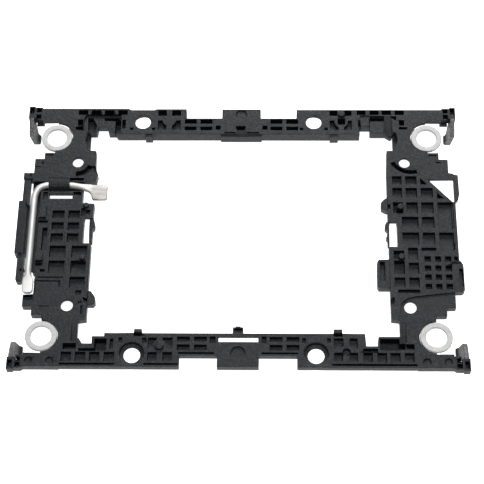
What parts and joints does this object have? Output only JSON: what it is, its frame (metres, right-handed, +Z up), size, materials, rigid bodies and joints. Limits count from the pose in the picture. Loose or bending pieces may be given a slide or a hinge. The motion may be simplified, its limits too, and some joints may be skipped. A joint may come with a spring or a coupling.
{
  "type": "processor carrier frame",
  "caption": "Flat moulded rectangular carrier that clips a processor package to a heat sink base, with a bent steel release lever, sprung hooks and screw rings.",
  "frame": {"origin": "middle of the footprint, at the level of the corner hooks' tips", "axes": "+X along the long rails with the release lever at -X, +Y to the rear rail, +Z up out of the ribbed face"},
  "size_m": [0.1178, 0.0784, 0.0073],
  "materials": {
    "moulding": "fine spark-eroded texture, charcoal glass-filled plastic",
    "steel": "bright drawn wire with pressed flat ends",
    "ring": "pale natural nylon"
  },
  "bodies": {
    "frame": {"rear_rail": "moulding", "front_rail": "moulding", "left_panel": "moulding", "right_panel": "moulding", "lever_hinge_barrel": "moulding", "latch_bar_root": "moulding", "right_guard_arm": "moulding", "key_tab": "moulding", "front_left_stop": "moulding", "front_right_stop": "moulding", "front_centre_stop": "moulding", "rear_left_corner": "moulding", "rear_right_corner": "moulding", "front_left_corner": "moulding", "front_right_corner": "moulding", "rear_left_ring": "ring", "rear_right_ring": "ring", "front_left_ring": "ring", "front_right_ring": "ring"},
    "release_lever": {"lever_rod": "steel", "lever_finger_pad": "steel", "lever_prying_blade": "steel"},
    "latch_bar": {"lever_latch_bar": "moulding"},
    "rear_left_hook": {"rear_left_hook": "moulding"},
    "rear_right_hook": {"rear_right_hook": "moulding"},
    "front_left_hook": {"front_left_hook": "moulding"},
    "front_right_hook": {"front_right_hook": "moulding"},
    "left_package_latch": {"left_package_latch": "moulding"},
    "right_package_latch": {"right_package_latch": "moulding"}
  },
  "joints": [
    {"name": "lever_lift", "type": "hinge", "parent": "frame", "child": "release_lever", "pos_m": [-0.04825, 0.0143, 0.0055], "axis": [-1, 0, 0], "range_deg": [0, 95]},
    {"name": "latch_bar_flex", "type": "hinge", "parent": "frame", "child": "latch_bar", "pos_m": [-0.05715, 0.0162, 0.0048], "axis": [0, 0, -1], "range_deg": [0, 3.5], "stiffness_Nm_per_rad": 0.05},
    {"name": "rear_left_hook_flex", "type": "hinge", "parent": "frame", "child": "rear_left_hook", "pos_m": [-0.05745, 0.0353, 0.0048], "axis": [0, 0, -1], "range_deg": [0, 12], "stiffness_Nm_per_rad": 0.02},
    {"name": "rear_right_hook_flex", "type": "hinge", "parent": "frame", "child": "rear_right_hook", "pos_m": [0.05795, 0.0353, 0.0048], "axis": [0, 0, 1], "range_deg": [0, 12], "stiffness_Nm_per_rad": 0.02},
    {"name": "front_left_hook_flex", "type": "hinge", "parent": "frame", "child": "front_left_hook", "pos_m": [-0.05745, -0.0359, 0.0048], "axis": [0, 0, 1], "range_deg": [0, 12], "stiffness_Nm_per_rad": 0.02},
    {"name": "front_right_hook_flex", "type": "hinge", "parent": "frame", "child": "front_right_hook", "pos_m": [0.05795, -0.0359, 0.0048], "axis": [0, 0, -1], "range_deg": [0, 12], "stiffness_Nm_per_rad": 0.02},
    {"name": "left_package_latch_flex", "type": "hinge", "parent": "frame", "child": "left_package_latch", "pos_m": [-0.03915, 0.0041, 0.0048], "axis": [0, 0, -1], "range_deg": [0, 8], "stiffness_Nm_per_rad": 0.02},
    {"name": "right_package_latch_flex", "type": "hinge", "parent": "frame", "child": "right_package_latch", "pos_m": [0.03935, 0.0031, 0.0048], "axis": [0, 0, 1], "range_deg": [0, 8], "stiffness_Nm_per_rad": 0.02}
  ]
}
